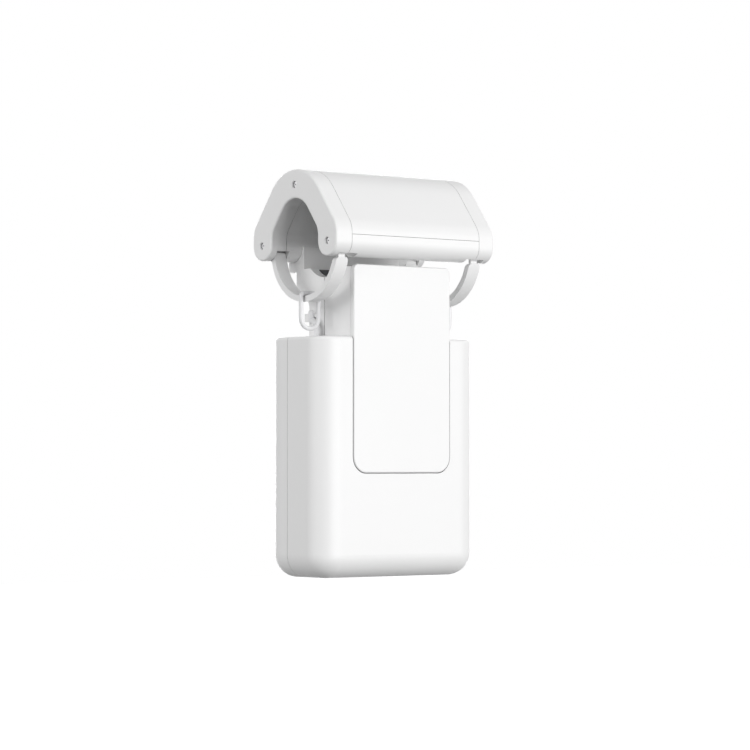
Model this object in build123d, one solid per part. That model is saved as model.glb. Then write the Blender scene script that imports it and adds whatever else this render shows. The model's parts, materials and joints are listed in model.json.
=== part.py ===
from build123d import *
import os
from math import acos, atan2, cos, degrees, pi, radians, sin, sqrt, tan

# Drive unit that hangs on a round passage along X.
# The origin is the middle of that passage, +Z is up and the front faces -Y.
# All sizes are in millimetres.

# Passage
passage_radius = 13.2
running_gap = 0.05
seam_gap = 0.15
moving_gap = 0.4

# Bracket over the passage
bracket_length = 85.0
end_cap_thickness = 8.2
bracket_half_depth = 28.5
crown_radius = 20.0
shoulder_height = 5.71
flank_angle = 37.5
shoulder_radius = 10.0
toe_bottom = -7.15
toe_flat = 0.05
throat_crown_radius = 10.75
throat_shoulder_height = 4.28
throat_shoulder_radius = 8.0
throat_half_width = 15.75
cover_wall = 2.0
frame_wall = 1.8
split_height = 1.9
end_face_fillet = 0.8
bulkhead_thickness = 2.0

# Screws of the end caps
cap_screw_recess_radius = 1.5
cap_screw_recess_depth = 1.9
cap_screw_head_height = 1.2
cap_screw_radius = 0.95
cap_screw_bite = 5.0

# Guide rollers above the passage
roller_spread = 20.0
roller_axis_height = 18.4
roller_half_width = 6.5
roller_axle_radius = 1.5
roller_rib_thickness = 2.4
rim_chamfer = 0.5

# Ring arms below the passage
arm_outer_radius = 22.5
arm_thickness = 2.5
arm_width = 6.2
arm_inset = 3.6
arm_centre_y = -2.0
arm_centre_height = -2.6
arm_end_height = -7.45
arm_tip_radius = 1.6
arm_pin_radius = 0.9
arm_pin_inset = 8.2
arm_pin_height = -5.0
arm_eye_radius = 1.9
slot_length = 9.5
slot_inset = 2.5
slot_overlap = 0.75
slot_roof = -2.9
tongue_width = 3.4
tongue_thickness = 1.3
tongue_top = -4.2

# Links that hang on the arms
link_wire = 1.9
link_inner_width = 7.2
link_top_bend = 1.2
link_bottom = -37.0

# Body
body_width = 85.0
body_front = -18.8
body_back = 19.3
body_top = -39.6
body_bottom = -139.6
body_corner = 10.0
body_bottom_fillet = 9.6
body_top_fillet = 1.4
body_wall = 1.8
shell_seam_y = 4.5

# Front plate and neck
plate_width = 52.0
plate_front = -19.3
plate_thickness = 2.2
plate_top = -9.5
plate_bottom = -96.1
plate_bottom_corner = 6.75
plate_top_corner = 2.5
plate_edge_fillet = 0.6
plate_gap = 0.3
neck_wall = 1.6
neck_seam_y = 0.55
neck_top = -10.5
saddle_gap = 1.1
neck_tongue = 4.0

# Rear column that carries the bracket
column_back = 11.0
column_leg_thickness = 4.0
column_leg_step = 1.1
column_foot_height = -96.0
upright_inset = 8.8
upright_depth = 5.1
upright_wall = 2.4
upright_shoulder_height = -17.5
upright_waist_height = -25.0
column_flange_inset = 3.5
column_flange_height = -10.2
column_flange_lip = 1.2
column_screw_spread = 16.0
column_screw_radius = 1.2
column_screw_head_radius = 2.2
column_screw_head_height = 1.5
column_screw_top = -1.6
stop_height = 4.0
stop_depth = 4.0
stop_y = 6.0

# Spring rods beside the neck
lug_reach = 2.0
lug_front = 4.1
lug_length = 7.5
lug_height = 3.4
lug_centre_height = -31.1
rod_radius = 1.3
rod_side_gap = 2.6
rod_top_y = 6.2
rod_low_y = 2.4
rod_bend_height = -32.3
rod_tip_radius = 1.25
rod_tip_height = -27.8
rod_end = -52.0
spring_gap = 0.4
spring_radius = 3.2
spring_wire = 1.2
spring_groove = 0.3
spring_coils = 12
spring_peg_radius = 1.6

# Drive
gear_module = 0.8
wheel_teeth = 20
idler_teeth = 20
pinion_teeth = 12
pressure_angle = 20.0
backlash = 0.16
addendum = 0.9
gear_front = -10.4
gear_width = 4.0
wheel_radius = 8.5
wheel_half_width = 5.0
wheel_spread = 11.5
tyre_depth = 2.0
wheel_axle_radius = 1.5
hub_collar_radius = 2.8
frame_plate = 2.0
frame_half_width = 21.2
frame_bottom = -65.6
deck_thickness = 1.4
deck_front = 15.3
deck_window = 7.8
motor_radius = 10.0
motor_shaft_radius = 1.0

# Electrics
cell_radius = 10.5
cell_length = 70.0
cell_height = -117.0
holder_wall = 1.4
holder_rib_x = 24.0
holder_rib_depth = 9.0
board_thickness = 1.6
board_front = 13.0
board_inset = 11.5
board_top = -46.0
board_bottom = -99.0
socket_width = 8.94
socket_depth = 3.16
socket_height = 7.3
socket_y = -2.0
socket_recess = 0.4
socket_wall = 0.3
button_radius = 3.5
button_height = -60.0
button_proud = 0.5
button_travel = 0.6
button_flange = 0.6
button_stem_radius = 1.2
switch_size = 4.0
switch_height = 0.9
lens_radius = 1.2
lens_height = -71.0
body_screw_radius = 1.2
body_screw_head_radius = 2.1
body_screw_head_height = 1.5
body_screw_depth = 4.5
body_screw_inset = 7.0
body_screw_heights = (-52.0, -101.0)
body_screw_bite = 8.0
boss_radius = 3.0

half_length = bracket_length / 2
cap_seam = half_length - end_cap_thickness
slope_rise = 1 / tan(radians(flank_angle))
crown_height = shoulder_height + bracket_half_depth * slope_rise - crown_radius / sin(radians(flank_angle))
crown_top = crown_height + crown_radius
throat_top = throat_shoulder_height + throat_half_width * slope_rise
throat_top -= throat_crown_radius / sin(radians(flank_angle)) - throat_crown_radius
toe_radius = (bracket_half_depth - throat_half_width - toe_flat) / 2
toe_y = bracket_half_depth - toe_radius
toe_height = toe_bottom + toe_radius
arm_pin_y = bracket_half_depth - arm_pin_inset
upright_back = bracket_half_depth - upright_inset
upright_inner = upright_back - upright_depth
column_flange_back = bracket_half_depth - column_flange_inset
column_screw_y = toe_y
neck_half = plate_width / 2
rod_x = neck_half + rod_side_gap
body_screw_x = body_width / 2 - body_screw_inset
board_half_width = body_width / 2 - board_inset
arm_centre = half_length - arm_inset - arm_width / 2
saddle_radius = passage_radius + saddle_gap
wheel_axis_height = -passage_radius - wheel_radius
idler_distance = gear_module * (wheel_teeth + idler_teeth) / 2
idler_height = wheel_axis_height - sqrt(idler_distance ** 2 - wheel_spread ** 2)
pinion_height = idler_height - gear_module * (idler_teeth + pinion_teeth) / 2
gear_back = gear_front + gear_width
front_plate_back = gear_front - moving_gap
back_plate_front = neck_seam_y + wheel_half_width + 3.0
recess_back = plate_front + plate_thickness + 0.1
spring_high = rod_end - spring_gap
spring_low = spring_high - spring_coils * spring_wire


def round_x(radius, x0, x1, y, z):
    return extrude(Plane.YZ.offset(x0) * Pos(y, z) * Circle(radius), x1 - x0)


def round_y(radius, y0, y1, x, z):
    # The XZ plane looks along -Y, so lengths count backwards
    return extrude(Plane.XZ.offset(-y1) * Pos(x, z) * Circle(radius), y1 - y0)


def round_z(radius, z0, z1, x, y):
    return extrude(Plane.XY.offset(z0) * Pos(x, y) * Circle(radius), z1 - z0)


def block(x0, x1, y0, y1, z0, z1):
    return Pos((x0 + x1) / 2, (y0 + y1) / 2, (z0 + z1) / 2) * Box(x1 - x0, y1 - y0, z1 - z0)


def slab(section, x0, x1):
    # Section in the YZ plane drawn out along the passage
    return extrude(Plane.YZ.offset(x0) * section, x1 - x0)


def both_sides(shape):
    return shape + mirror(shape, Plane.YZ)


def arch(half_width, crown, corner, shoulder, low):
    # Pointed arch with a round crown and round shoulders
    apex = corner + half_width / tan(radians(flank_angle))
    points = [(-half_width, low), (-half_width, corner), (0, apex)]
    points += [(half_width, corner), (half_width, low)]
    path = FilletPolyline(*points, radius=[shoulder, crown, shoulder])
    return make_face(path + Line(points[-1], points[0]))


def corner_shift(inset):
    # An even inset moves the flank's corner down by this much
    slope = radians(flank_angle)
    return inset * (1 / sin(slope) - 1 / tan(slope))


def saddle_outline(inset):
    depth = bracket_half_depth - inset
    corner = shoulder_height - corner_shift(inset)
    return arch(depth, crown_radius - inset, corner, shoulder_radius - inset, toe_bottom + inset)


def throat_outline(grow):
    width = throat_half_width + grow
    corner = throat_shoulder_height + corner_shift(grow)
    low = toe_bottom - bracket_half_depth
    return arch(width, throat_crown_radius + grow, corner, throat_shoulder_radius + grow, low)


def saddle_section():
    section = saddle_outline(0) - throat_outline(0)
    for radius, half_width in ((toe_radius, bracket_half_depth), (toe_radius - 0.1, throat_half_width)):
        toes = section.vertices().filter_by(lambda v: v.Y < toe_bottom + 0.01)
        section = fillet(toes.filter_by(lambda v: abs(abs(v.X) - half_width) < 0.01), radius)
    return section


def band(low, high):
    # Part of a YZ section between two heights
    return Pos(0, (low + high) / 2) * Rectangle(4 * bracket_half_depth, high - low)


def arm_slots(x0, x1):
    # Pockets under one side's front and rear toes, where the ring arm's ends sit
    near = throat_half_width - slot_overlap
    far = bracket_half_depth - slot_inset
    front = block(x0, x1, -far, -near, toe_bottom - 1, slot_roof)
    rear = block(x0, x1, near, far, toe_bottom - 1, slot_roof)
    return front, rear


def cap_screw_places():
    return [(0, crown_top - toe_radius), (toe_y, toe_height), (-toe_y, toe_height)]


def make_end_cap():
    cap = slab(saddle_section(), cap_seam + seam_gap, half_length)
    cap = fillet(cap.edges().group_by(Axis.X)[-1], end_face_fillet)
    for y, z in cap_screw_places():
        cap -= round_x(cap_screw_recess_radius, half_length - cap_screw_recess_depth, half_length + 1, y, z)
        cap -= round_x(cap_screw_radius + running_gap, cap_seam, half_length, y, z)
    front, _ = arm_slots(cap_seam - slot_length / 2, cap_seam + slot_length / 2)
    _, rear = arm_slots(arm_centre - arm_width / 2 - 0.2, arm_centre + arm_width / 2 + 0.2)
    pin = round_x(arm_pin_radius + running_gap / 2, cap_seam, half_length - 1.2, arm_pin_y, arm_pin_height)
    return cap - front - rear - pin


def make_top_cover():
    skin = saddle_outline(0) - saddle_outline(cover_wall)
    skin &= band(split_height, crown_top)
    cover = slab(skin, -cap_seam, cap_seam)
    rib = slab(saddle_outline(cover_wall) & band(throat_top + frame_wall + 3.0, crown_top), -0.6, 0.6)
    return cover + rib


def make_bracket_frame():
    throat = throat_outline(0)
    legs = saddle_section() & band(toe_bottom, split_height - seam_gap)
    lining = (throat_outline(frame_wall) - throat) & band(0, crown_top)
    ends = (saddle_outline(cover_wall + seam_gap) - throat) & band(0, crown_top)
    frame = slab(legs, -cap_seam, cap_seam) + slab(lining, -cap_seam, cap_seam)
    frame += both_sides(slab(ends, cap_seam - bulkhead_thickness, cap_seam))
    rib_low = throat_top - throat_crown_radius
    rib_high = roller_axis_height + 3.0
    rib_inner = roller_half_width + moving_gap
    reach = roller_half_width + 2.2
    for x in (-roller_spread, roller_spread):
        for side in (-1, 1):
            y0, y1 = sorted((side * rib_inner, side * (rib_inner + roller_rib_thickness)))
            rib = block(x - reach, x + reach, y0, y1, rib_low, rib_high)
            frame += rib - slab(throat, x - reach - 1, x + reach + 1)
        window = roller_half_width + 2.0
        frame -= block(x - window, x + window, -rib_inner, rib_inner, 0, rib_high + 1)
        frame -= round_y(roller_axle_radius + running_gap / 2, -reach - 1, reach + 1, x, roller_axis_height)
    for y, z in cap_screw_places():
        hole = round_x(cap_screw_radius + running_gap, cap_seam - cap_screw_bite, cap_seam + 1, y, z)
        frame -= both_sides(hole)
    front, _ = arm_slots(cap_seam - slot_length / 2, cap_seam + slot_length / 2)
    _, rear = arm_slots(arm_centre - arm_width / 2 - 0.2, arm_centre + arm_width / 2 + 0.2)
    pin = round_x(arm_pin_radius + running_gap / 2, cap_seam - 5.0, cap_seam + 1, arm_pin_y, arm_pin_height)
    frame -= both_sides(front + rear + pin)
    for x in (-column_screw_spread, 0, column_screw_spread):
        bore = column_screw_radius + running_gap
        frame -= round_z(bore, toe_bottom - 1, column_screw_top, x, column_screw_y)
    return frame


def make_cap_screws():
    head_top = half_length - cap_screw_recess_depth + cap_screw_head_height
    head_low = half_length - cap_screw_recess_depth
    screws = []
    for y, z in cap_screw_places():
        head = round_x(cap_screw_recess_radius - running_gap, head_low, head_top, y, z)
        head -= round_x(0.55, head_top - 0.7, head_top + 1, y, z)
        screws.append(head + round_x(cap_screw_radius, cap_seam - cap_screw_bite, head_low, y, z))
    return screws + [mirror(screw, Plane.YZ) for screw in screws]


def make_roller_axles():
    reach = roller_half_width + moving_gap + roller_rib_thickness
    places = (-roller_spread, roller_spread)
    return [round_y(roller_axle_radius, -reach, reach, x, roller_axis_height) for x in places]


def hourglass(half_width, axis_height, bore):
    # Half section of a wheel whose tread is hollowed to the passage, turned about Y
    land = half_width - rim_chamfer
    flare = abs(axis_height) - sqrt(passage_radius ** 2 - land ** 2)
    waist = abs(axis_height) - passage_radius
    with BuildSketch(Plane.XY) as section:
        with BuildLine():
            ThreePointArc((flare, land), (waist, 0), (flare, -land))
            Polyline((flare, -land), (flare - rim_chamfer, -half_width), (bore, -half_width),
                     (bore, half_width), (flare - rim_chamfer, half_width), (flare, land))
        make_face()
    return revolve(section.sketch, Axis.Y)


def make_roller(x):
    roller = hourglass(roller_half_width, roller_axis_height, roller_axle_radius + running_gap)
    return Pos(x, 0, roller_axis_height) * roller


def ring_chord(radius):
    # Half the ring's span where its ends are cut off
    return sqrt(radius ** 2 - (arm_end_height - arm_centre_height) ** 2)


def make_ring_arm(centre):
    inner = arm_outer_radius - arm_thickness
    ring = Pos(arm_centre_y, arm_centre_height) * (Circle(arm_outer_radius) - Circle(inner))
    ring &= band(arm_centre_height - 2 * arm_outer_radius, arm_end_height)
    x0 = centre - arm_width / 2
    x1 = centre + arm_width / 2
    arm = slab(ring, x0, x1)
    ends = arm.edges().filter_by(Axis.Y).group_by(Axis.Z)[-1]
    arm = fillet(ends.filter_by(lambda edge: edge.center().Y < 0), arm_tip_radius)
    half = tongue_width / 2
    tip = arm_centre_y - ring_chord(inner + arm_thickness / 2)
    arm += block(centre - half, centre + half, tip - tongue_thickness / 2, tip + tongue_thickness / 2,
                 arm_end_height - 1.0, tongue_top)
    arm += block(centre - half, centre + half, tip - tongue_thickness, tip, tongue_top - 1.2, tongue_top)
    near = arm_centre_y + ring_chord(inner) + 0.1
    far = arm_centre_y + ring_chord(arm_outer_radius) - 0.1
    root = arm_end_height - 0.3
    reach = 0.7 * arm_eye_radius
    cheek = Polyline((near, root), (arm_pin_y - arm_eye_radius + 0.05, arm_pin_height),
                     (arm_pin_y, arm_pin_height + reach), (arm_pin_y + reach, arm_pin_height - reach),
                     (far, root), close=True)
    arm += slab(make_face(cheek), x0, x1)
    arm += round_x(arm_eye_radius, x0, x1, arm_pin_y, arm_pin_height)
    return arm - round_x(arm_pin_radius + running_gap, x0 - 1, x1 + 1, arm_pin_y, arm_pin_height)


def make_arm_pins():
    pin = round_x(arm_pin_radius, cap_seam - 5.0, half_length - 1.2, arm_pin_y, arm_pin_height)
    return [pin, mirror(pin, Plane.YZ)]


def make_link(centre):
    # Oval link whose top rests inside the arm's lowest point
    wire_high = arm_centre_height - arm_outer_radius + arm_thickness + link_wire / 2 + running_gap
    wire_low = link_bottom + link_wire / 2
    half_width = (link_inner_width + link_wire) / 2
    corners = [(-half_width, wire_low), (-half_width, wire_high)]
    corners += [(half_width, wire_high), (half_width, wire_low)]
    low_bend = half_width - 0.4
    bends = [low_bend, link_top_bend, link_top_bend, low_bend]
    path = Plane.XZ * FilletPolyline(*corners, radius=bends, close=True)
    wire = Plane.XY.offset((wire_high + wire_low) / 2) * Pos(-half_width, 0) * Circle(link_wire / 2)
    return Pos(centre, arm_centre_y, 0) * sweep(wire, path=path.wires()[0])


def column_profile():
    # Side view of a fork cheek: straight leg, shoulder, and upright behind the passage
    front = neck_seam_y + seam_gap
    corners = [(front, toe_height), (front, column_foot_height), (column_back, column_foot_height),
               (column_back, upright_waist_height), (upright_back, upright_shoulder_height),
               (upright_back, toe_height), (upright_inner, toe_height)]
    path = FilletPolyline(*corners, radius=[0, 0, 0, 3.0, 3.0, 0, 0], close=True)
    return make_face(path) - Circle(saddle_radius)


def make_rear_column():
    cheek_front = column_profile() & band(column_foot_height - 1, column_flange_height)
    cheeks = both_sides(slab(cheek_front, neck_half - column_leg_thickness, neck_half))
    wall = Pos((upright_back - upright_wall / 2), 0) * Rectangle(upright_wall, 4 * bracket_half_depth)
    wall &= band(upright_shoulder_height + 1.0, column_flange_height)
    flange = Pos((upright_inner + column_flange_back) / 2, 0)
    flange *= Rectangle(column_flange_back - upright_inner, 4 * bracket_half_depth)
    flange &= band(column_flange_height - column_flange_lip, toe_height)
    flange = flange - saddle_section()
    flange = flange.faces().sort_by(Axis.Y)[0]
    column = cheeks + slab(wall, -neck_half, neck_half) + slab(flange, -neck_half, neck_half)
    for x in (-column_screw_spread, 0, column_screw_spread):
        column -= round_z(column_screw_radius + running_gap, 2 * column_flange_height, 0, x, column_screw_y)
    column -= make_travel_stop()
    step = block(neck_half - column_leg_step, neck_half + 1, 0, column_back + 1,
                 column_foot_height - 1, body_top - body_wall)
    column -= both_sides(step)
    lug = block(neck_half, neck_half + lug_reach, lug_front, lug_front + lug_length,
                lug_centre_height - lug_height / 2, lug_centre_height + lug_height / 2)
    lug = fillet(lug.edges().filter_by(Axis.X), 0.5)
    lug -= round_z(rod_radius + running_gap, 2 * lug_centre_height, 0, rod_x, rod_top_y)
    inner = rod_x - rod_radius - running_gap
    roof = rod_bend_height + rod_radius + running_gap
    lug -= block(inner, rod_x, 0, rod_top_y, 2 * lug_centre_height, roof)
    return column + both_sides(lug)


def make_travel_stop():
    return block(-neck_half, neck_half, stop_y - stop_depth / 2, stop_y + stop_depth / 2,
                 column_foot_height, column_foot_height + stop_height)


def make_column_screws():
    head_top = column_flange_height - column_flange_lip
    screws = []
    for x in (-column_screw_spread, 0, column_screw_spread):
        head_low = head_top - column_screw_head_height
        head = round_z(column_screw_head_radius, head_low, head_top, x, column_screw_y)
        screws.append(head + round_z(column_screw_radius, head_top, column_screw_top, x, column_screw_y))
    return screws


def make_spring_rod():
    # Stem that rises out of the body, bends rearwards and stands up against the lug
    points = [(rod_low_y, rod_end), (rod_low_y, rod_bend_height), (rod_top_y, rod_bend_height)]
    path = Plane.YZ.offset(rod_x) * FilletPolyline(*points, radius=[rod_top_y - rod_low_y - 0.05])
    start = Plane.XY.offset(rod_end) * Pos(rod_x, rod_low_y) * Circle(rod_radius)
    stem = sweep(start, path=path.wires()[0])
    foot = rod_bend_height - rod_radius
    tip = round_z(rod_tip_radius, foot, rod_tip_height, rod_x, rod_top_y)
    tip = fillet(tip.edges().group_by(Axis.Z)[-1], rod_tip_radius - 0.1)
    return stem + fillet(tip.edges().group_by(Axis.Z)[0], rod_tip_radius - 0.1)


def make_clamp_spring():
    # Closed coils drawn as a ribbed tube round the rod's end
    valley = spring_radius - spring_groove
    points = []
    for coil in range(spring_coils):
        z = spring_low + coil * spring_wire
        points += [(valley, z), (spring_radius, z + spring_wire / 2)]
    points.append((valley, spring_high))
    inner = spring_radius - spring_wire
    outline = Polyline((inner, spring_low), *points, (inner, spring_high), close=True)
    return Pos(rod_x, rod_low_y, 0) * revolve(Plane.XZ * make_face(outline), Axis.Z)


def involute(base, radius):
    pressure = acos(base / radius)
    return tan(pressure) - pressure


def gear(teeth, phase, x, z, bore):
    # Involute spur gear with its axis along Y and one tooth at the phase angle
    pitch = gear_module * teeth / 2
    base = pitch * cos(radians(pressure_angle))
    tip = pitch + addendum * gear_module
    root = pitch - 1.25 * gear_module
    start = max(base, root)
    widest = pi / (2 * teeth) - backlash / (2 * pitch) + involute(base, pitch)
    half = [(root, widest)]
    for step in range(4):
        radius = start + (tip - start) * step / 3
        half.append((radius, widest - involute(base, radius)))
    points = []
    for tooth in range(teeth):
        centre = radians(phase) + 2 * pi * tooth / teeth
        for radius, angle in half:
            points.append((radius * cos(centre - angle), radius * sin(centre - angle)))
        for radius, angle in reversed(half):
            points.append((radius * cos(centre + angle), radius * sin(centre + angle)))
    face = make_face(Polyline(*points, close=True)) - Circle(bore)
    return extrude(Plane.XZ.offset(-gear_back) * Pos(x, z) * face, gear_width)


def mesh_phase(driver_teeth, driver_phase, direction, teeth):
    # Angle of a tooth that meets the gaps of a gear lying the other way along the direction
    turned = driver_teeth * (driver_phase - direction)
    return direction + 180 + (180 - turned) / teeth


def wheel_direction(side):
    return degrees(atan2(wheel_axis_height - idler_height, side * wheel_spread))


def idler_phase():
    return wheel_direction(1)


def make_drive_hub(side):
    phase = mesh_phase(idler_teeth, idler_phase(), wheel_direction(side), wheel_teeth)
    bore = wheel_axle_radius + running_gap
    x = side * wheel_spread
    hub = gear(wheel_teeth, phase, x, wheel_axis_height, bore)
    sleeve = round_y(wheel_radius - tyre_depth, gear_back, wheel_half_width, x, wheel_axis_height)
    end = back_plate_front - moving_gap
    collar = round_y(hub_collar_radius, wheel_half_width, end, x, wheel_axis_height)
    return hub + sleeve + collar - round_y(bore, gear_front - 1, back_plate_front, x, wheel_axis_height)


def make_tyre(side):
    tyre = hourglass(wheel_half_width, wheel_axis_height, wheel_radius - tyre_depth)
    return Pos(side * wheel_spread, 0, wheel_axis_height) * tyre


def make_idler():
    return gear(idler_teeth, idler_phase(), 0, idler_height, wheel_axle_radius + running_gap)


def make_pinion():
    phase = mesh_phase(idler_teeth, idler_phase(), -90, pinion_teeth)
    pinion = gear(pinion_teeth, phase, 0, pinion_height, motor_shaft_radius)
    return pinion + round_y(motor_shaft_radius, gear_front, gear_back + moving_gap, 0, pinion_height)


def make_axles():
    places = [(side * wheel_spread, wheel_axis_height) for side in (-1, 1)]
    places.append((0, idler_height))
    ends = [back_plate_front + frame_plate] * 2 + [gear_back + moving_gap]
    axles = []
    for (x, z), end in zip(places, ends):
        axles.append(round_y(wheel_axle_radius, front_plate_back - frame_plate, end, x, z))
    return axles


def make_gear_frame():
    # Front and back plates of the drive, the floor between them and pads against the shell
    front_high = neck_top - deck_thickness - 0.1
    back_high = -sqrt((saddle_radius + deck_thickness + 0.1) ** 2 - back_plate_front ** 2)
    x = frame_half_width
    front = block(-x, x, front_plate_back - frame_plate, front_plate_back, frame_bottom, front_high)
    back = block(-x, x, back_plate_front, back_plate_front + frame_plate, frame_bottom, back_high)
    floor_top = frame_bottom + frame_plate
    floor = block(-x, x, front_plate_back - 1, back_plate_front + 1, frame_bottom, floor_top)
    frame = front + back + floor
    front_end = front_plate_back - frame_plate - 1
    back_end = back_plate_front + frame_plate + 1
    for side in (-1, 1):
        x0, x1 = sorted((side * (x - 6.0), side * (x - 1.0)))
        for z in (frame_bottom + 4.0, body_top - 14.0):
            pad_front = recess_back + body_wall
            frame += block(x0, x1, pad_front, front_plate_back - 1, z, z + 5.0)
        frame -= round_y(wheel_axle_radius, front_end, back_end, side * wheel_spread, wheel_axis_height)
    return frame - round_y(wheel_axle_radius, front_end, front_plate_back + 1, 0, idler_height)


def make_motor():
    front = gear_back + moving_gap
    can = round_y(motor_radius, front + 1.0, back_plate_front, 0, pinion_height)
    can = chamfer(can.edges().filter_by(GeomType.CIRCLE).group_by(Axis.Y)[0], 0.6)
    can += round_y(3.0, front, front + 1.5, 0, pinion_height)
    low = pinion_height - motor_radius
    for x in (-2.0, 2.0):
        can += block(x - 0.5, x + 0.5, front + 4.0, front + 6.0, low - 1.5, low + 1.0)
    return can


def make_saddle_cover():
    # Curved deck that closes the neck under the passage, with a window for each drive wheel
    shell = Circle(saddle_radius + deck_thickness)
    land = deck_front + front_plate_back
    middle = (front_plate_back - deck_front) / 2
    shell += Pos(middle, neck_top - deck_thickness / 2) * Rectangle(land, deck_thickness)
    shell = (shell - Circle(saddle_radius)) & band(-2 * saddle_radius, neck_top)
    wide = neck_half - neck_wall - 0.1
    low = -2 * saddle_radius
    front = slab(shell, -wide, wide) & block(-wide, wide, -deck_front, neck_seam_y - seam_gap, low, 0)
    rear = slab(shell, -frame_half_width, frame_half_width)
    rear &= block(-wide, wide, neck_seam_y - 1.0, back_plate_front + frame_plate, low, 0)
    deck = front + rear
    for side in (-1, 1):
        x = side * wheel_spread
        y = wheel_half_width + moving_gap
        deck -= block(x - deck_window, x + deck_window, front_plate_back, y, low, 0)
    return deck


def rounded_body(inset):
    x = body_width / 2 - inset
    shape = block(-x, x, body_front + inset, body_back - inset, body_bottom + inset, body_top - inset)
    shape = fillet(shape.edges().filter_by(Axis.Z), body_corner - inset)
    shape = fillet(shape.edges().group_by(Axis.Z)[0], body_bottom_fillet - inset)
    if inset == 0:
        shape = fillet(shape.edges().group_by(Axis.Z)[-1], body_top_fillet)
    return shape


def plate_outline(grow, top):
    half = neck_half + grow
    low = plate_bottom - grow
    outline = Pos(0, (low + top) / 2) * Rectangle(2 * half, top - low)
    return fillet(outline.vertices().group_by(Axis.Y)[0], plate_bottom_corner + grow)


def plate_solid(grow, top, front, back):
    return extrude(Plane.XZ.offset(-back) * plate_outline(grow, top), back - front)


def screw_bosses(y0, y1, radius):
    bosses = []
    for z in body_screw_heights:
        for side in (-1, 1):
            bosses.append(round_y(radius, y0, y1, side * body_screw_x, z))
    return bosses


def board_posts(radius, y0, y1):
    posts = []
    for z in (board_bottom + 3.0, board_top - 3.0):
        for side in (-1, 1):
            posts.append(round_y(radius, y0, y1, side * (board_half_width - 3.0), z))
    return posts


def top_opening():
    x = neck_half + plate_gap
    low = body_top - 2 * body_wall
    neck = block(-x, x, body_front - 1, column_back + plate_gap, low, body_top + 1)
    rod = round_z(rod_radius + moving_gap, low, body_top + 1, rod_x, rod_low_y)
    return neck + both_sides(rod)


def stadium(half, deep, low, high):
    return extrude(Plane.XY.offset(low) * Pos(0, socket_y) * SlotOverall(2 * half, 2 * deep), high - low)


def make_front_shell():
    shell = rounded_body(0) - rounded_body(body_wall)
    far = body_width
    shell -= block(-far, far, shell_seam_y - seam_gap / 2, far, body_bottom - 1, body_top + 1)
    backing = plate_solid(body_wall, body_top - 0.4, recess_back, recess_back + body_wall)
    shell += backing & rounded_body(0.4)
    shell -= plate_solid(plate_gap, body_top + 5, body_front - 1, recess_back)
    shell -= top_opening()
    root = body_front + body_wall + 0.8
    for boss in screw_bosses(root, shell_seam_y - seam_gap / 2, boss_radius):
        shell += boss
    for hole in screw_bosses(shell_seam_y - body_screw_bite, shell_seam_y + 1, body_screw_radius):
        shell -= hole
    peg_z = spring_low - spring_peg_radius - spring_gap
    peg = round_y(spring_peg_radius, root - 1.0, rod_low_y + 3.0, rod_x, peg_z)
    half = socket_width / 2 + 0.15
    deep = socket_depth / 2 + 0.15
    return shell + both_sides(peg) - stadium(half, deep, body_bottom - 1, body_bottom + body_wall + 1)


def make_rear_cover():
    cover = rounded_body(0) - rounded_body(body_wall)
    far = body_width
    cover -= block(-far, far, -far, shell_seam_y + seam_gap / 2, body_bottom - 1, body_top + 1)
    cover -= top_opening()
    for boss in screw_bosses(shell_seam_y + seam_gap / 2, body_back - 2.5, boss_radius):
        cover += boss
    for post in board_posts(2.2, board_front + board_thickness + running_gap, body_back - 1.0):
        cover += post
    head_low = body_back - body_screw_depth
    for hole in screw_bosses(shell_seam_y - 1, body_back + 1, body_screw_radius + running_gap):
        cover -= hole
    for recess in screw_bosses(head_low, body_back + 1, body_screw_head_radius + running_gap):
        cover -= recess
    cover -= round_y(button_radius + 0.15, body_back - 2 * body_wall, body_back + 1, 0, button_height)
    return cover - round_y(lens_radius + 0.02, body_back - 2 * body_wall, body_back + 1, 0, lens_height)


def make_body_screws():
    head_low = body_back - body_screw_depth
    screws = []
    heads = screw_bosses(head_low, head_low + body_screw_head_height, body_screw_head_radius)
    sockets = screw_bosses(head_low + 0.7, body_back, 0.9)
    shanks = screw_bosses(shell_seam_y - body_screw_bite, head_low, body_screw_radius - 0.02)
    for head, socket, shank in zip(heads, sockets, shanks):
        screws.append(head - socket + shank)
    return screws


def make_front_plate():
    plate = plate_solid(0, plate_top, plate_front, plate_front + plate_thickness)
    top_corners = plate.edges().filter_by(Axis.Y).group_by(Axis.Z)[-1]
    plate = fillet(top_corners, plate_top_corner)
    face = plate.faces().sort_by(Axis.Y)[0]
    return fillet(face.edges(), plate_edge_fillet)


def make_neck_housing():
    # Open channel behind the plate whose cheeks are hollowed for the passage
    front = recess_back
    x = neck_half
    inner = x - neck_wall
    low = body_top - 2 * body_wall + 0.1
    shape = block(-x, x, front, neck_seam_y - seam_gap, low, neck_top)
    shape -= block(-inner, inner, front + neck_wall, neck_seam_y + 1, low - 1, neck_top + 1)
    shape -= round_x(saddle_radius, -x - 1, x + 1, 0, 0)
    back = front + body_wall + running_gap
    shape += block(-inner, inner, front + 1.0, back + neck_wall, low, low + 2.0)
    return shape + block(-inner, inner, back, back + neck_wall, low - neck_tongue, low + 1.0)


def make_cell():
    cell = round_x(cell_radius, -cell_length / 2, cell_length / 2, 0, cell_height)
    nipple = round_x(3.5, cell_length / 2, cell_length / 2 + 0.8, 0, cell_height)
    return chamfer(cell.edges().filter_by(GeomType.CIRCLE), 0.5) + nipple


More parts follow.
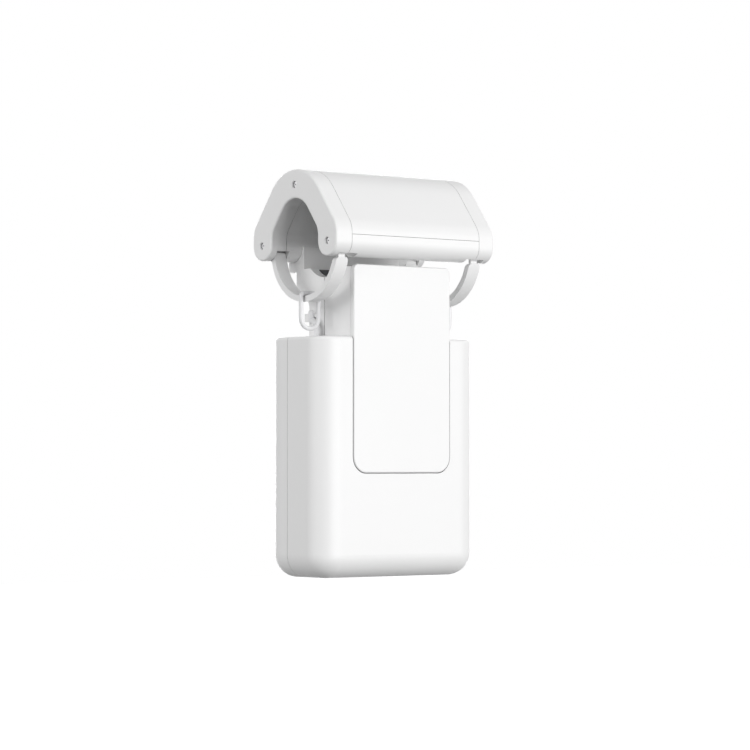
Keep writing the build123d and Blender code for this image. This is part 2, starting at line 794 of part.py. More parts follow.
def make_cell_holder():
    # Open cradle that clips round the cell and stands on ribs
    outer = cell_radius + holder_wall
    reach = cell_length / 2 + 1.0
    cradle = round_x(outer, -reach, reach, 0, cell_height)
    floor = body_bottom + body_wall + 0.1
    for x in (-holder_rib_x, holder_rib_x):
        cradle += block(x - 1.0, x + 1.0, -holder_rib_depth, holder_rib_depth, floor, cell_height)
    cradle -= round_x(cell_radius + 0.1, -reach - 1, reach + 1, 0, cell_height)
    mouth = cell_height + 3.0
    return cradle - block(-reach - 1, reach + 1, -outer - 1, outer + 1, mouth, cell_height + outer + 1)


def make_circuit_board():
    board_back = board_front + board_thickness
    x = board_half_width
    board = block(-x, x, board_front, board_back, board_bottom, board_top)
    for hole in board_posts(1.2, board_front - 1, board_back + 1):
        board -= hole
    chip = block(-6.0, 6.0, board_back, board_back + 1.0, board_bottom + 7.0, board_bottom + 17.0)
    radio = block(-8.0, 8.0, board_back, board_back + 1.8, board_bottom + 19.0, board_bottom + 25.5)
    return board + chip + radio


def make_socket():
    half = socket_width / 2
    deep = socket_depth / 2
    wall = socket_wall
    low = body_bottom + socket_recess
    shell = stadium(half, deep, low, low + socket_height)
    shell -= stadium(half - wall, deep - wall, low - 1, low + socket_height - 1.0)
    tongue = block(-3.3, 3.3, socket_y - 0.35, socket_y + 0.35, low + 1.0, low + socket_height - 0.5)
    return shell + tongue


def make_socket_board():
    front = socket_y + socket_depth / 2
    floor = body_bottom + body_wall + 0.1
    return block(-9.0, 9.0, front, front + 1.2, floor, floor + 8.0)


def make_button():
    face = body_back + button_proud
    inner = body_back - body_wall - 0.1
    cap = round_y(button_radius, inner - button_flange, face, 0, button_height)
    cap = fillet(cap.edges().filter_by(GeomType.CIRCLE).group_by(Axis.Y)[-1], 0.4)
    return cap + round_y(button_radius + 0.9, inner - button_flange, inner, 0, button_height)


def make_switch():
    back = board_front + board_thickness
    half = switch_size / 2
    case = block(-half, half, back, back + switch_height, button_height - half, button_height + half)
    stem_end = body_back - body_wall - 0.2 - button_flange - button_travel
    return case + round_y(button_stem_radius, back, stem_end, 0, button_height)


def make_lens():
    return round_y(lens_radius, board_front + board_thickness + 0.1, body_back + 0.05, 0, lens_height)


def save(name, shape):
    solids = shape if isinstance(shape, list) else shape.solids()
    export_step(Compound(children=list(solids)) if len(solids) > 1 else solids[0], f"parts/{name}.step")


cap = make_end_cap()
arm = make_ring_arm(arm_centre)
link = make_link(arm_centre)
rod = make_spring_rod()
spring = make_clamp_spring()
pieces = {
    "top_cover": make_top_cover(),
    "bracket_frame": make_bracket_frame(),
    "end_cap_screws": make_cap_screws(),
    "roller_axles": make_roller_axles(),
    "arm_hinge_pins": make_arm_pins(),
    "rear_column": make_rear_column(),
    "column_screws": make_column_screws(),
    "travel_stop": make_travel_stop(),
    "front_plate": make_front_plate(),
    "neck_housing": make_neck_housing(),
    "saddle_cover": make_saddle_cover(),
    "gear_frame": make_gear_frame(),
    "drive_axles": make_axles(),
    "idler_gear": make_idler(),
    "motor_pinion": make_pinion(),
    "motor": make_motor(),
    "front_shell": make_front_shell(),
    "rear_cover": make_rear_cover(),
    "body_screws": make_body_screws(),
    "battery_cell": make_cell(),
    "battery_holder": make_cell_holder(),
    "circuit_board": make_circuit_board(),
    "charging_socket": make_socket(),
    "charging_board": make_socket_board(),
    "button_switch": make_switch(),
    "function_button": make_button(),
    "status_lens": make_lens(),
}
for side, label in ((-1, "left"), (1, "right")):
    across = Plane.YZ
    pieces[label + "_end_cap"] = cap if side > 0 else mirror(cap, across)
    pieces[label + "_ring_arm"] = arm if side > 0 else mirror(arm, across)
    pieces[label + "_link"] = link if side > 0 else mirror(link, across)
    pieces[label + "_spring_rod"] = rod if side > 0 else mirror(rod, across)
    pieces[label + "_clamp_spring"] = spring if side > 0 else mirror(spring, across)
    pieces[label + "_guide_roller"] = make_roller(side * roller_spread)
    pieces[label + "_drive_hub"] = make_drive_hub(side)
    pieces[label + "_drive_tyre"] = make_tyre(side)

os.makedirs("parts", exist_ok=True)
for name, shape in pieces.items():
    save(name, shape)
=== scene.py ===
import json
from math import pi, radians, sqrt
import bmesh
import bpy
from mathutils import Matrix, Vector


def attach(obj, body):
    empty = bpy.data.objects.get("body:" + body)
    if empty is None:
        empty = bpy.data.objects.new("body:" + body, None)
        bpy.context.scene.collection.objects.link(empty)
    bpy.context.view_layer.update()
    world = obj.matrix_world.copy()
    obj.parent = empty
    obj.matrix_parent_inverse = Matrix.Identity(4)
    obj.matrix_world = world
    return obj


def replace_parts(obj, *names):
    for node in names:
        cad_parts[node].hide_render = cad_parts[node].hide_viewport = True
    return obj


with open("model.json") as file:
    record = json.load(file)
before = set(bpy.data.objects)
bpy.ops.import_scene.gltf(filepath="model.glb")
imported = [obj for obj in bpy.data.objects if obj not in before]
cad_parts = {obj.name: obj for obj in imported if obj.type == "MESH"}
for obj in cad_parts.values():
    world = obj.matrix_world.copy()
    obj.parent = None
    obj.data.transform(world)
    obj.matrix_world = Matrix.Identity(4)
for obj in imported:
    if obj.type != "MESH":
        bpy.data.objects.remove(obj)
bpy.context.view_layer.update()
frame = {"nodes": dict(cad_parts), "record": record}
mm = 0.001
meshFinish = {"mergeDistance": 0.000002, "sharpAngle": 32.0}  # metres and degrees

print("stage: camera")
view = {"place": (-0.82479, -1.01941, -0.09109), "tilt": 91.586, "turn": -39.0,
        "lens": 148.8, "sensor": 36.0}
camera = bpy.data.objects.new("camera", bpy.data.cameras.new("camera"))
bpy.context.scene.collection.objects.link(camera)
camera.data.sensor_width = view["sensor"]
camera.data.lens = view["lens"]
camera.location = view["place"]
camera.rotation_euler = (radians(view["tilt"]), 0.0, radians(view["turn"]))
bpy.context.scene.camera = camera
bpy.context.scene.view_settings.view_transform = "Standard"

print("stage: room")
# Shade and sky are the greys that light the object; glow lifts the floor for the camera alone
room = {"floor": -0.42, "reach": 6.0, "roughness": 0.9, "shade": 0.09, "sky": 0.37, "glow": 0.72}
plainWhite = (1.0, 1.0, 1.0, 1.0)


def backdropShader(tree, level):
    # Plain white to the camera, in gloss and through clear parts, and a grey to all other rays
    path = tree.nodes.new("ShaderNodeLightPath")
    seen = path.outputs["Is Camera Ray"]
    for ray in ("Is Glossy Ray", "Is Transmission Ray"):
        either = tree.nodes.new("ShaderNodeMath")
        either.operation = "MAXIMUM"
        tree.links.new(seen, either.inputs[0])
        tree.links.new(path.outputs[ray], either.inputs[1])
        seen = either.outputs[0]
    mix = tree.nodes.new("ShaderNodeMix")
    mix.data_type = "RGBA"
    mix.inputs["A"].default_value = (level, level, level, 1.0)
    mix.inputs["B"].default_value = plainWhite
    tree.links.new(seen, mix.inputs["Factor"])
    return mix.outputs["Result"]


world = bpy.data.worlds.new("studio")
bpy.context.scene.world = world
world.use_nodes = True
worldTree = world.node_tree
worldColour = backdropShader(worldTree, room["sky"])
worldTree.links.new(worldColour, worldTree.nodes["Background"].inputs["Color"])

floorMesh = bpy.data.meshes.new("floor")
sheet = bmesh.new()
bmesh.ops.create_grid(sheet, x_segments=1, y_segments=1, size=room["reach"])
bmesh.ops.translate(sheet, verts=sheet.verts, vec=(0, 0, room["floor"]))
sheet.to_mesh(floorMesh)
sheet.free()
floor = bpy.data.objects.new("floor", floorMesh)
bpy.context.scene.collection.objects.link(floor)
paper = bpy.data.materials.new("paleFloor")
paper.use_nodes = True
paperTree = paper.node_tree
paperShader = paperTree.nodes["Principled BSDF"]
paperShader.inputs["Roughness"].default_value = room["roughness"]
paperColour = backdropShader(paperTree, room["shade"])
paperTree.links.new(paperColour, paperShader.inputs["Base Color"])
paperShader.inputs["Emission Color"].default_value = plainWhite
paperSeen = paperTree.nodes.new("ShaderNodeLightPath")
paperGlow = paperTree.nodes.new("ShaderNodeMath")
paperGlow.operation = "MULTIPLY"
paperGlow.inputs[1].default_value = room["glow"]
paperTree.links.new(paperSeen.outputs["Is Camera Ray"], paperGlow.inputs[0])
paperTree.links.new(paperGlow.outputs[0], paperShader.inputs["Emission Strength"])
# The floor is clear from below, so the underside can be looked at
paperSide = paperTree.nodes.new("ShaderNodeNewGeometry")
paperClear = paperTree.nodes.new("ShaderNodeBsdfTransparent")
paperMix = paperTree.nodes.new("ShaderNodeMixShader")
paperTree.links.new(paperSide.outputs["Backfacing"], paperMix.inputs[0])
paperTree.links.new(paperShader.outputs[0], paperMix.inputs[1])
paperTree.links.new(paperClear.outputs[0], paperMix.inputs[2])
paperTree.links.new(paperMix.outputs[0], paperTree.nodes["Material Output"].inputs["Surface"])
floorMesh.materials.append(paper)

print("stage: lamps")
lampAim = (0, 0, -0.05)  # the middle of the object
lamps = {
    "frontLamp": {"place": (0.42, -1.75, 0.08), "width": 2.0, "height": 0.9, "watts": 31.4},
    "backLamp": {"place": (0.95, 1.5, 0.12), "width": 1.2, "height": 1.0, "watts": 19.0},
    "sideLamp": {"place": (-1.5, 0.1, 0.30), "width": 1.5, "height": 1.2, "watts": 13.4},
}
for name, lamp in lamps.items():
    light = bpy.data.lights.new(name, "AREA")
    light.shape = "RECTANGLE"
    light.size = lamp["width"]
    light.size_y = lamp["height"]
    light.energy = lamp["watts"]
    lampObject = bpy.data.objects.new(name, light)
    lampObject.location = lamp["place"]
    aim = Vector(lampAim) - Vector(lamp["place"])
    lampObject.rotation_euler = aim.to_track_quat("-Z", "Y").to_euler()
    bpy.context.scene.collection.objects.link(lampObject)

print("stage: materials")


def newFinish(name):
    # A fresh material, its node tree, its shader and the object's own coordinates
    material = bpy.data.materials.new(name)
    material.use_nodes = True
    tree = material.node_tree
    where = tree.nodes.new("ShaderNodeTexCoord")
    return material, tree, tree.nodes["Principled BSDF"], where.outputs["Object"]


def noisePattern(tree, where, scale, detail):
    noise = tree.nodes.new("ShaderNodeTexNoise")
    noise.inputs["Scale"].default_value = scale
    noise.inputs["Detail"].default_value = detail
    tree.links.new(where, noise.inputs["Vector"])
    return noise.outputs["Fac"]


def colourBlend(tree, pattern, first, second):
    # Drifts from the first colour to the second with a pattern
    blend = tree.nodes.new("ShaderNodeMix")
    blend.data_type = "RGBA"
    blend.inputs["A"].default_value = (*first, 1.0)
    blend.inputs["B"].default_value = (*second, 1.0)
    tree.links.new(pattern, blend.inputs["Factor"])
    return blend.outputs["Result"]


def surfaceGrain(tree, shader, pattern, rough, strength, depth):
    # One pattern both spreads the gloss and raises the surface
    gloss = tree.nodes.new("ShaderNodeMapRange")
    gloss.inputs["To Min"].default_value = rough[0]
    gloss.inputs["To Max"].default_value = rough[1]
    tree.links.new(pattern, gloss.inputs["Value"])
    tree.links.new(gloss.outputs["Result"], shader.inputs["Roughness"])
    bump = tree.nodes.new("ShaderNodeBump")
    bump.inputs["Strength"].default_value = strength
    bump.inputs["Distance"].default_value = depth
    tree.links.new(pattern, bump.inputs["Height"])
    tree.links.new(bump.outputs["Normal"], shader.inputs["Normal"])


def paintedSeamShade(tree, colour, seam):
    # Painted shade: occlusion darkens the colour in thin seams and contact lines between mouldings
    crevice = tree.nodes.new("ShaderNodeAmbientOcclusion")
    crevice.samples = seam["samples"]
    crevice.inputs["Distance"].default_value = seam["reach"]
    shade = tree.nodes.new("ShaderNodeMapRange")
    shade.inputs["From Max"].default_value = seam["open"]
    shade.inputs["To Min"].default_value = seam["darkest"]
    tree.links.new(crevice.outputs["AO"], shade.inputs["Value"])
    deepen = tree.nodes.new("ShaderNodeMix")
    deepen.data_type = "RGBA"
    deepen.blend_type = "MULTIPLY"
    deepen.inputs["Factor"].default_value = 1.0
    tree.links.new(colour, deepen.inputs["A"])
    tree.links.new(shade.outputs["Result"], deepen.inputs["B"])
    return deepen.outputs["Result"]


mouldedBase = {"ior": 1.46, "flowDetail": 2.0, "grainDetail": 3.0}


def mouldedPlastic(name, look):
    # Spark-eroded grain, faint flow shading and small changes of gloss
    material, tree, shader, where = newFinish(name)
    shader.inputs["IOR"].default_value = look.get("ior", mouldedBase["ior"])
    shader.inputs["Transmission Weight"].default_value = look.get("clear", 0.0)
    flow = noisePattern(tree, where, look["flowScale"], mouldedBase["flowDetail"])
    colour = colourBlend(tree, flow, look["colour"], look["flowColour"])
    # Painted shade in seams and contact lines, where the look asks for it
    if "seam" in look:
        colour = paintedSeamShade(tree, colour, look["seam"])
    tree.links.new(colour, shader.inputs["Base Color"])
    grain = noisePattern(tree, where, look["grainScale"], mouldedBase["grainDetail"])
    surfaceGrain(tree, shader, grain, look["rough"], look["grainStrength"], look["grainDepth"])
    return material


mouldedLooks = {
    "satinWhite": {
        "colour": (0.80, 0.80, 0.80), "flowColour": (0.83, 0.83, 0.83), "flowScale": 18.0,
        "grainScale": 2600.0, "grainStrength": 0.10, "grainDepth": 0.00006, "rough": (0.34, 0.46),
        # seam: painted shade from occlusion in seams and contact lines
        "seam": {"darkest": 0.15, "open": 0.75, "reach": 0.0008, "samples": 8}},
    "enamelWire": {
        "colour": (0.70, 0.70, 0.71), "flowColour": (0.75, 0.75, 0.76), "flowScale": 220.0,
        "grainScale": 1800.0, "grainStrength": 0.15, "grainDepth": 0.00005, "rough": (0.28, 0.40)},
    "darkInner": {
        "colour": (0.085, 0.088, 0.092), "flowColour": (0.10, 0.103, 0.108), "flowScale": 25.0,
        "grainScale": 1800.0, "grainStrength": 0.25, "grainDepth": 0.00008, "rough": (0.45, 0.62)},
    "paleGrey": {
        "colour": (0.50, 0.51, 0.52), "flowColour": (0.54, 0.55, 0.56), "flowScale": 25.0,
        "grainScale": 2200.0, "grainStrength": 0.12, "grainDepth": 0.00006, "rough": (0.36, 0.48)},
    "softRubber": {
        "colour": (0.30, 0.30, 0.30), "flowColour": (0.34, 0.34, 0.34), "flowScale": 40.0,
        "grainScale": 1500.0, "grainStrength": 0.4, "grainDepth": 0.0001, "rough": (0.72, 0.86)},
    "shrinkFilm": {
        "colour": (0.02, 0.085, 0.28), "flowColour": (0.03, 0.10, 0.31), "flowScale": 60.0,
        "grainScale": 700.0, "grainStrength": 0.3, "grainDepth": 0.0001, "rough": (0.18, 0.30)},
    "solderMask": {
        "colour": (0.012, 0.09, 0.035), "flowColour": (0.016, 0.12, 0.05), "flowScale": 140.0,
        "grainScale": 1200.0, "grainStrength": 0.2, "grainDepth": 0.00005, "rough": (0.25, 0.40)},
    "clearLens": {
        "colour": (0.93, 0.95, 0.97), "flowColour": (0.96, 0.97, 0.98), "flowScale": 60.0,
        "grainScale": 1500.0, "grainStrength": 0.05, "grainDepth": 0.00003, "rough": (0.05, 0.12),
        "ior": 1.49, "clear": 0.9},
}


metalBase = {"lineScale": 900.0, "tarnishScale": 160.0, "detail": 2.0, "strength": 0.1,
             "depth": 0.00004}


def drawnMetal(name, look):
    # Fine lines along one axis and a little tarnish
    material, tree, shader, where = newFinish(name)
    shader.inputs["Metallic"].default_value = 1.0
    stretch = tree.nodes.new("ShaderNodeMapping")
    stretch.inputs["Scale"].default_value = look["lines"]
    tree.links.new(where, stretch.inputs["Vector"])
    detail = metalBase["detail"]
    lines = noisePattern(tree, stretch.outputs["Vector"], metalBase["lineScale"], detail)
    tarnish = noisePattern(tree, where, metalBase["tarnishScale"], detail)
    colour = colourBlend(tree, tarnish, look["colour"], look["tarnish"])
    tree.links.new(colour, shader.inputs["Base Color"])
    surfaceGrain(tree, shader, lines, look["rough"], metalBase["strength"], metalBase["depth"])
    return material


metalLooks = {
    "platedSteel": {"colour": (0.86, 0.86, 0.87), "tarnish": (0.78, 0.78, 0.79),
                    "lines": (1, 1, 1), "rough": (0.28, 0.42)},
    "springWire": {"colour": (0.55, 0.55, 0.56), "tarnish": (0.42, 0.42, 0.43),
                   "lines": (1, 1, 6), "rough": (0.26, 0.40)},
    "turnedBrass": {"colour": (0.72, 0.55, 0.25), "tarnish": (0.60, 0.44, 0.20),
                    "lines": (1, 8, 1), "rough": (0.22, 0.36)},
}
finishes = {name: mouldedPlastic(name, look) for name, look in mouldedLooks.items()}
finishes.update({name: drawnMetal(name, look) for name, look in metalLooks.items()})
slotFinish = {
    "white_plastic": "satinWhite", "inner_plastic": "darkInner", "grey_plastic": "paleGrey",
    "rubber": "softRubber", "steel": "platedSteel", "spring_steel": "springWire",
    "brass": "turnedBrass", "cell_wrap": "shrinkFilm", "circuit_board": "solderMask",
    "lens": "clearLens",
}
enamelledEnds = ("_link", "_spring_rod")  # steel pieces with a pale enamel coat
for part in frame["record"]["subparts"]:
    finish = slotFinish[part["material_slot"]]
    if part["node"].endswith(enamelledEnds):
        finish = "enamelWire"
    mesh = frame["nodes"][part["node"]].data
    mesh.materials.clear()
    mesh.materials.append(finishes[finish])


def finishPiece(name, shape, body, slot):
    bmesh.ops.remove_doubles(shape, verts=shape.verts, dist=meshFinish["mergeDistance"])
    bmesh.ops.recalc_face_normals(shape, faces=shape.faces)
    mesh = bpy.data.meshes.new(name)
    shape.to_mesh(mesh)
    shape.free()
    mesh.shade_smooth()
    mesh.set_sharp_from_angle(angle=radians(meshFinish["sharpAngle"]))
    mesh.materials.append(finishes[slotFinish[slot]])
    piece = bpy.data.objects.new(name, mesh)
    bpy.context.scene.collection.objects.link(piece)
    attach(piece, body)
    return piece


def turned(shape, points, steps):
    # Profile of radius and height in millimetres, turned about Z
    verts = [shape.verts.new((radius * mm, 0, height * mm)) for radius, height in points]
    edges = [shape.edges.new(pair) for pair in zip(verts, verts[1:])]
    bmesh.ops.spin(shape, geom=verts + edges, cent=(0, 0, 0), axis=(0, 0, 1),
                   angle=2 * pi, steps=steps, use_merge=True)
    bmesh.ops.remove_doubles(shape, verts=shape.verts, dist=meshFinish["mergeDistance"])


def place(shape, spot, direction):
    # Stands a shape made along +Z at a spot, pointing in a direction
    turn = Vector(direction).to_track_quat("Z", "Y").to_matrix().to_4x4()
    matrix = Matrix.Translation(Vector(spot) * mm) @ turn
    bmesh.ops.transform(shape, matrix=matrix, verts=shape.verts)


print("stage: screws")
screwForm = {
    "shoulder": (0.82, 0.1), "brow": (0.95, 0.45),  # shares of the head's radius and its crown
    "root": 0.82, "tipShares": (0.7, 0.4),  # shares of the shank's radius
    "neck": 0.3, "plainEnd": 1.0, "tipHeight": 0.3,  # millimetres
    "recess": 0.62, "armReach": 0.4,  # shares of the flat's radius
    "armShare": 0.5, "recessTaper": 0.7, "sides": 24,
}


def screwProfile(look):
    # Pan head on a ridged shank, with the head's top at height 0
    head, crown, shank = look["head"], look["crown"], look["shank"]
    low = -look["headHeight"]
    points = [(look["flat"], 0)]
    for share, drop in (screwForm["shoulder"], screwForm["brow"]):
        points.append((head * share, -drop * crown))
    points += [(head, -crown), (head, low), (shank, low)]
    ridges = int((look["length"] - screwForm["plainEnd"]) / look["pitch"])
    for ridge in range(ridges):
        top = low - screwForm["neck"] - ridge * look["pitch"]
        points += [(shank * screwForm["root"], top), (shank, top - look["pitch"] / 2)]
    end = low - look["length"]
    wide, narrow = screwForm["tipShares"]
    return points + [(shank * wide, end + screwForm["tipHeight"]), (shank * narrow, end), (0, end)]


def crossRecess(shape, look):
    # Sinks the middle row and column of a small grid in the head's flat, and gives its outer edges
    slot = look["slot"] * mm
    reach = look["flat"] * screwForm["armReach"] * mm
    grid = bmesh.ops.create_grid(shape, x_segments=3, y_segments=3,
                                 size=look["flat"] * screwForm["recess"] * mm)
    for vert in grid["verts"]:
        if abs(vert.co.x) < reach:
            vert.co.x = slot if vert.co.x > 0 else -slot
        if abs(vert.co.y) < reach:
            vert.co.y = slot if vert.co.y > 0 else -slot
    faces = {face for vert in grid["verts"] for face in vert.link_faces}
    centres = {face: face.calc_center_median() for face in faces}
    cross = [face for face, centre in centres.items()
             if min(abs(centre.x), abs(centre.y)) < slot * screwForm["armShare"]]
    outer = {edge for face in faces for edge in face.edges if edge.is_boundary}
    sunk = bmesh.ops.extrude_face_region(shape, geom=cross)
    sunkVerts = [item for item in sunk["geom"] if isinstance(item, bmesh.types.BMVert)]
    bmesh.ops.translate(shape, verts=sunkVerts, vec=(0, 0, -look["depth"] * mm))
    taper = screwForm["recessTaper"]
    bmesh.ops.scale(shape, verts=sunkVerts, vec=(taper, taper, 1.0))
    doubled = [face for face in cross if face.is_valid]
    bmesh.ops.delete(shape, geom=doubled, context="FACES_ONLY")
    return [edge for edge in outer if edge.is_valid]


def screwShape(look):
    shape = bmesh.new()
    turned(shape, screwProfile(look), screwForm["sides"])
    rim = [edge for edge in shape.edges if edge.is_boundary]
    outer = crossRecess(shape, look)
    bmesh.ops.bridge_loops(shape, edges=rim + outer)
    return shape


def screwSet(name, look, stops, direction, node, body):
    # One piece of all screws of a kind; a stop is a spot and the angle at which the screw stops
    whole = bmesh.new()
    for spot, angle in stops:
        screw = screwShape(look)
        turn = Matrix.Rotation(angle, 3, "Z")
        bmesh.ops.rotate(screw, cent=(0, 0, 0), matrix=turn, verts=screw.verts)
        place(screw, spot, direction(spot))
        scratch = bpy.data.meshes.new("scratch")
        screw.to_mesh(scratch)
        screw.free()
        whole.from_mesh(scratch)
        bpy.data.meshes.remove(scratch)
    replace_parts(finishPiece(name, whole, body, "steel"), node)


capScrew = {"head": 1.4, "headHeight": 1.15, "crown": 0.4, "flat": 0.85, "slot": 0.17,
            "depth": 0.55, "shank": 0.93, "pitch": 0.55, "length": 11.0, "top": 41.8,
            "places": [(0.0, 23.67), (22.15, -0.8), (-22.15, -0.8)], "angles": (0.6, 0.4)}
bySide, byHeight = capScrew["angles"]
stops = [((side * capScrew["top"], y, z), bySide * side + byHeight * z)
         for side in (-1, 1) for y, z in capScrew["places"]]
screwSet("capScrewSet", capScrew, stops, lambda spot: (spot[0], 0, 0), "end_cap_screws", "hanger")
columnScrew = {"head": 2.15, "headHeight": 1.4, "crown": 0.5, "flat": 1.4, "slot": 0.26,
               "depth": 0.8, "shank": 1.15, "pitch": 0.7, "length": 9.5, "top": -12.9,
               "places": [-16.0, 0.0, 16.0], "y": 22.15, "angle": 0.3}
stops = [((x, columnScrew["y"], columnScrew["top"]), columnScrew["angle"] + x)
         for x in columnScrew["places"]]
screwSet("columnScrewSet", columnScrew, stops, lambda spot: (0, 0, -1), "column_screws", "hanger")
bodyScrew = {"head": 2.05, "headHeight": 1.4, "crown": 0.5, "flat": 1.3, "slot": 0.25,
             "depth": 0.8, "shank": 1.12, "pitch": 0.8, "length": 15.0, "top": 16.3,
             "x": 35.5, "heights": [-52.0, -101.0], "angles": (1.0, 0.1)}
bySide, byHeight = bodyScrew["angles"]
stops = [((side * bodyScrew["x"], bodyScrew["top"], z), bySide * side + byHeight * z)
         for z in bodyScrew["heights"] for side in (-1, 1)]
screwSet("bodyScrewSet", bodyScrew, stops, lambda spot: (0, 1, 0), "body_screws", "main_unit")

print("stage: rollers and tyres")
# Millimetres: inside keeps a tread within its node, the lugs keep off the ends and the hub
treadForm = {"inside": 0.02, "chamfer": 0.5, "slope": 0.4, "ribSteps": 4, "turns": 72,
             "lugEnd": 1.6, "lugHub": 0.6, "lugInset": 0.06}


def treadProfile(look):
    # Tread hollowed to the passage, with fine ribs, closed round its bore
    half = look["half"]
    land = half - treadForm["chamfer"]
    ribSteps = treadForm["ribSteps"]
    steps = look["ribs"] * ribSteps
    ribbed = []
    for step in range(steps + 1):
        y = -land + 2 * land * step / steps
        groove = look["groove"] if step % ribSteps == ribSteps // 2 else 0.0
        hollow = look["axis"] - sqrt(look["passage"] ** 2 - y * y)
        ribbed.append((hollow - groove - treadForm["inside"], y))
    edge = ribbed[0][0]
    web = look["web"]
    sunk = -half + look["dish"]
    end = -half + treadForm["inside"]
    low = [(look["bore"], sunk), (web, sunk), (web + treadForm["slope"], end),
           (edge - treadForm["chamfer"], end)]
    high = [(radius, -height) for radius, height in reversed(low)]
    return low + ribbed + high + [low[0]]


def sinkRows(shape, look):
    # Every second row of the tread's faces is sunk, which leaves the lugs
    turns = treadForm["turns"]
    rows = []
    for face in shape.faces:
        centre = face.calc_center_median()
        across = Vector(centre[:2])
        if abs(centre.z) >= (look["half"] - treadForm["lugEnd"]) * mm:
            continue
        if across.length <= (look["bore"] + treadForm["lugHub"]) * mm:
            continue
        angle = Vector((1, 0)).angle_signed(across) + pi
        if int(angle / (2 * pi) * turns + 0.5) % 2 == 0:
            rows.append(face)
    bmesh.ops.inset_region(shape, faces=rows, thickness=treadForm["lugInset"] * mm,
                           depth=-look["lugs"] * mm)


def treadPiece(name, look, spot, body, node):
    shape = bmesh.new()
    turned(shape, treadProfile(look), treadForm["turns"])
    if look["lugs"]:
        sinkRows(shape, look)
    place(shape, spot, (0, 1, 0))
    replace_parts(finishPiece(name, shape, body, "rubber"), node)


guideRoller = {"half": 6.5, "axis": 18.4, "passage": 13.2, "bore": 1.55, "web": 2.6, "dish": 0.7,
               "ribs": 9, "groove": 0.14, "lugs": 0.0, "spread": 20.0}
driveTyre = {"half": 5.0, "axis": 21.7, "passage": 13.2, "bore": 6.5, "web": 7.0, "dish": 0.2,
             "ribs": 6, "groove": 0.1, "lugs": 0.3, "spread": 11.5}
for label, side in (("left", -1), ("right", 1)):
    spot = (side * guideRoller["spread"], 0, guideRoller["axis"])
    treadPiece(label + "RollerTread", guideRoller, spot, label + "_roller", label + "_guide_roller")
    spot = (side * driveTyre["spread"], 0, -driveTyre["axis"])
    treadPiece(label + "TyreTread", driveTyre, spot, label + "_wheel", label + "_drive_tyre")

print("stage: springs")
clampSpring = {"coil": 2.58, "wire": 0.6, "inside": 0.01, "wireSides": 10, "pitch": 1.2,
               "turns": 10, "steps": 20, "low": -65.0, "x": 28.6, "y": 2.4}
for label, side in (("left", -1), ("right", 1)):
    shape = bmesh.new()
    ring = bmesh.ops.create_circle(shape, cap_ends=False, segments=clampSpring["wireSides"],
                                   radius=(clampSpring["wire"] - clampSpring["inside"]) * mm)
    upright = Matrix.Rotation(pi / 2, 3, "X")
    bmesh.ops.rotate(shape, cent=(0, 0, 0), matrix=upright, verts=ring["verts"])
    bmesh.ops.translate(shape, verts=ring["verts"], vec=(clampSpring["coil"] * mm, 0, 0))
    bmesh.ops.spin(shape, geom=shape.verts[:] + shape.edges[:], cent=(0, 0, 0), axis=(0, 0, 1),
                   dvec=(0, 0, clampSpring["pitch"] * mm / clampSpring["steps"]),
                   angle=2 * pi * clampSpring["turns"],
                   steps=clampSpring["turns"] * clampSpring["steps"])
    ends = [edge for edge in shape.edges if edge.is_boundary]
    bmesh.ops.holes_fill(shape, edges=ends)
    foot = (side * clampSpring["x"] * mm, clampSpring["y"] * mm, clampSpring["low"] * mm)
    bmesh.ops.translate(shape, verts=shape.verts, vec=foot)
    coil = finishPiece(label + "SpringCoil", shape, "main_unit", "spring_steel")
    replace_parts(coil, label + "_clamp_spring")

print("stage: button and lens")
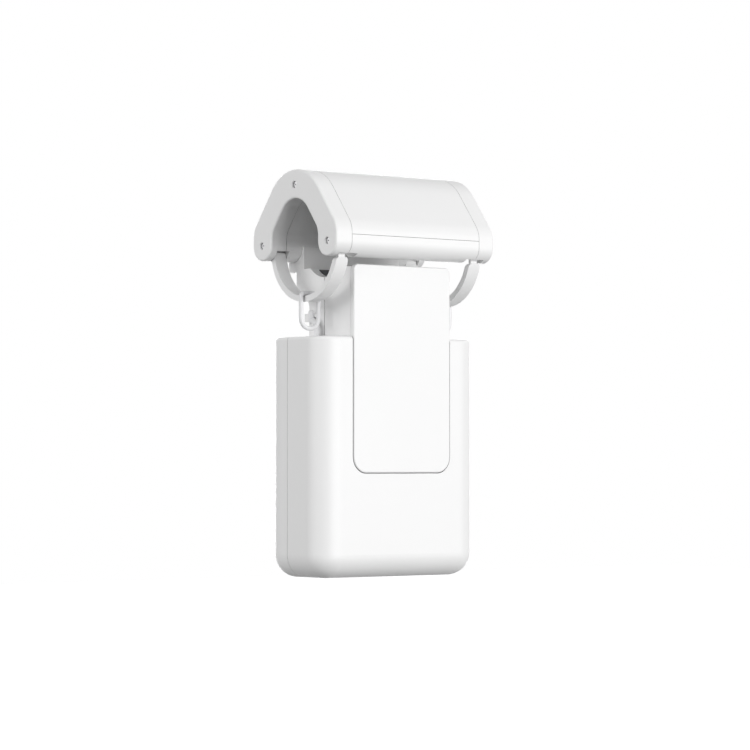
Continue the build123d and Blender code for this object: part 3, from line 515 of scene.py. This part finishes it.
# A dish point is a radius and a drop, a rim point is a distance in from the radius and a drop
pressButton = {"radius": 3.5, "flange": 4.4, "spot": (0, 0, -60.0), "face": 19.8, "back": 16.8,
               "seat": 17.4, "dish": [(0, 0.3), (1.4, 0.26), (2.5, 0.12)],
               "rim": [(0.5, 0), (0.2, 0.06), (0.05, 0.2), (0, 0.45)], "steps": 72}
face, radius = pressButton["face"], pressButton["radius"]
points = [(across, face - drop) for across, drop in pressButton["dish"]]
points += [(radius - inward, face - drop) for inward, drop in pressButton["rim"]]
points += [(radius, pressButton["seat"]), (pressButton["flange"], pressButton["seat"]),
           (pressButton["flange"], pressButton["back"]), (0, pressButton["back"])]
shape = bmesh.new()
turned(shape, points, pressButton["steps"])
place(shape, pressButton["spot"], (0, 1, 0))
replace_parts(finishPiece("pressButton", shape, "button", "grey_plastic"), "function_button")
# A dome point is a share of the radius and a drop
statusLens = {"radius": 1.19, "spot": (0, 0, -71.0), "face": 19.34, "back": 14.7,
              "dome": [(0, 0), (0.5, 0.02), (0.85, 0.08), (1, 0.2)], "steps": 40}
face, radius = statusLens["face"], statusLens["radius"]
points = [(radius * share, face - drop) for share, drop in statusLens["dome"]]
points += [(radius, statusLens["back"]), (0, statusLens["back"])]
shape = bmesh.new()
turned(shape, points, statusLens["steps"])
place(shape, statusLens["spot"], (0, 1, 0))
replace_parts(finishPiece("statusDome", shape, "main_unit", "lens"), "status_lens")

print("stage: port contacts")
portContacts = {"count": 12, "pitch": 0.5, "width": 0.28, "low": -137.9, "high": -133.5,
                "thick": 0.04, "y": -2.0, "tongue": 0.35, "sunk": 0.005, "edge": 0.01}
height = portContacts["high"] - portContacts["low"]
padSize = (portContacts["width"] * mm, portContacts["thick"] * mm, height * mm)
shape = bmesh.new()
for row in (-1, 1):
    offset = portContacts["tongue"] + portContacts["thick"] / 2 - portContacts["sunk"]
    y = portContacts["y"] + row * offset
    for pad in range(portContacts["count"]):
        x = (pad - (portContacts["count"] - 1) / 2) * portContacts["pitch"]
        middle = (x * mm, y * mm, (portContacts["low"] + height / 2) * mm)
        cube = bmesh.ops.create_cube(shape, size=1.0)
        bmesh.ops.scale(shape, verts=cube["verts"], vec=padSize)
        bmesh.ops.translate(shape, verts=cube["verts"], vec=middle)
bmesh.ops.bevel(shape, geom=shape.edges[:], offset=portContacts["edge"] * mm, segments=1,
                affect="EDGES", profile=0.5, material=-1)
finishPiece("portContacts", shape, "main_unit", "brass")
